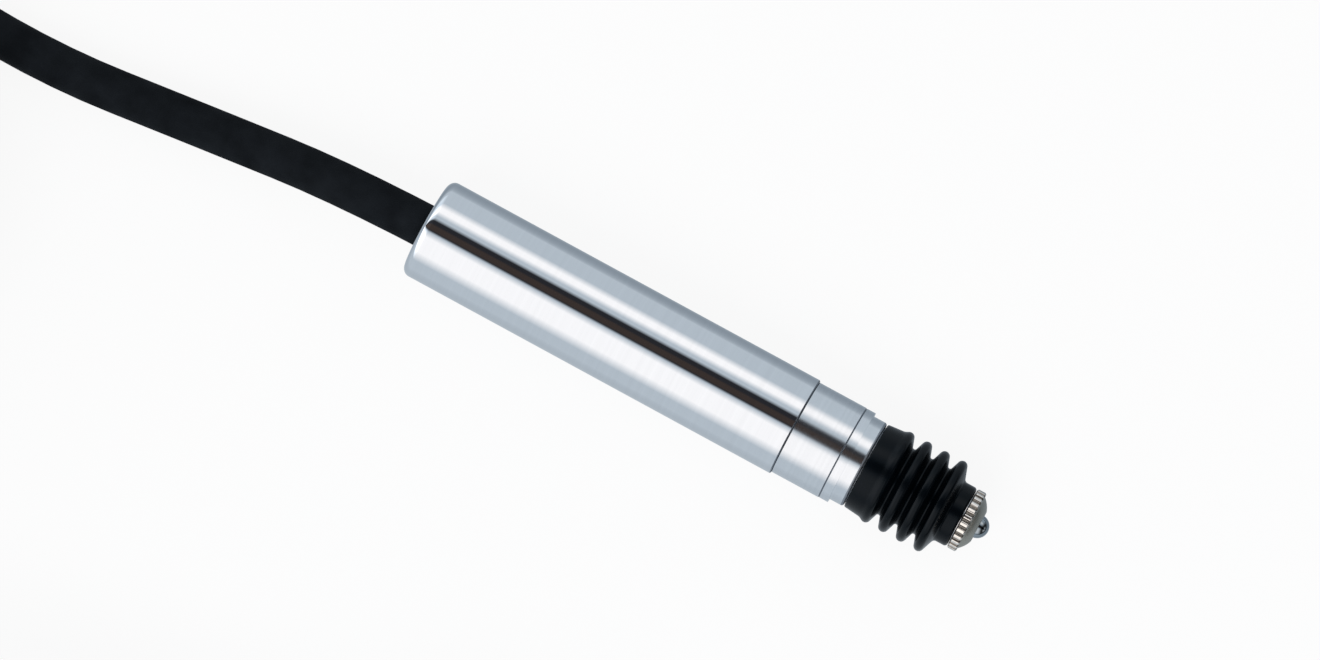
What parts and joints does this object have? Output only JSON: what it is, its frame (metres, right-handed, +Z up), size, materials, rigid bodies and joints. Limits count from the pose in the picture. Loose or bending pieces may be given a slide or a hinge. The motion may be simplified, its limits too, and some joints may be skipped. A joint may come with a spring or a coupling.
{
  "type": "electronic gauge probe",
  "caption": "Slim cylindrical inductive gauge probe with a rubber bellows, a knurled ball tip, a spring-loaded plunger and a cable that ends in a round plug.",
  "frame": {"origin": "under the middle of the probe's length, on the surface it lies on, below its axis; the free cable and its plug aren't counted", "axes": "+X along the probe towards the measuring tip, +Z up"},
  "size_m": [0.1289, 0.0555, 0.015],
  "materials": {
    "polished_steel": "mirror polished stainless steel",
    "turned_steel": "fine turned stainless steel",
    "ground_steel": "ground hardened steel",
    "spring_steel": "drawn wire",
    "shield_alloy": "dull nickel iron alloy",
    "bellows_rubber": "satin black moulded rubber",
    "cable_rubber": "matt black rubber",
    "cable_jacket": "matt black cable jacket",
    "knurled_nickel": "knurled nickel plated steel",
    "carbide": "polished hard metal",
    "cage_brass": "turned brass",
    "rod_brass": "drawn brass",
    "ferrite": "sintered ferrite",
    "former_plastic": "moulded plastic",
    "copper_wire": "enamelled copper wire",
    "board": "printed circuit laminate",
    "plug_plastic": "black moulded plastic",
    "plug_metal": "nickel plated steel shell",
    "pin_metal": "nickel plated brass pins"
  },
  "bodies": {
    "housing": {"housing_tube": "polished_steel", "front_sleeve": "turned_steel", "nose_cap": "turned_steel", "bellows": "bellows_rubber", "guide_bush": "ground_steel", "return_spring": "spring_steel", "stop_cup": "turned_steel", "coil_former": "former_plastic", "rear_winding": "copper_wire", "front_winding": "copper_wire", "magnetic_shield": "shield_alloy", "solder_board": "board", "lead_wires": "copper_wire", "cable_grommet": "cable_rubber", "clamp_ferrule": "turned_steel", "cable_coil": "cable_jacket", "cable_lead": "cable_jacket", "cable_tail": "cable_jacket", "plug_boot": "cable_rubber", "plug_cover": "plug_plastic", "plug_shield": "plug_metal", "plug_insert": "plug_plastic", "plug_pins": "pin_metal"},
    "plunger": {"plunger": "ground_steel", "core_rod": "rod_brass", "ferrite_core": "ferrite", "anti_rotation_pin": "ground_steel", "contact_tip": "knurled_nickel", "contact_ball": "carbide"},
    "cage": {"ball_cage": "cage_brass", "bearing_balls": "ground_steel"}
  },
  "joints": [
    {"name": "plunger_slide", "type": "slide", "parent": "housing", "child": "plunger", "axis": [-1, 0, 0], "range_m": [0, 0.0024], "stiffness_N_per_m": 80, "springref_m": -0.008, "deforming": ["bellows", "return_spring"]},
    {"name": "cage_slide", "type": "slide", "parent": "housing", "child": "cage", "axis": [-1, 0, 0], "range_m": [0, 0.0012]}
  ],
  "couplings": [
    {"joint": "cage_slide", "follows": "plunger_slide", "ratio": 0.5}
  ]
}
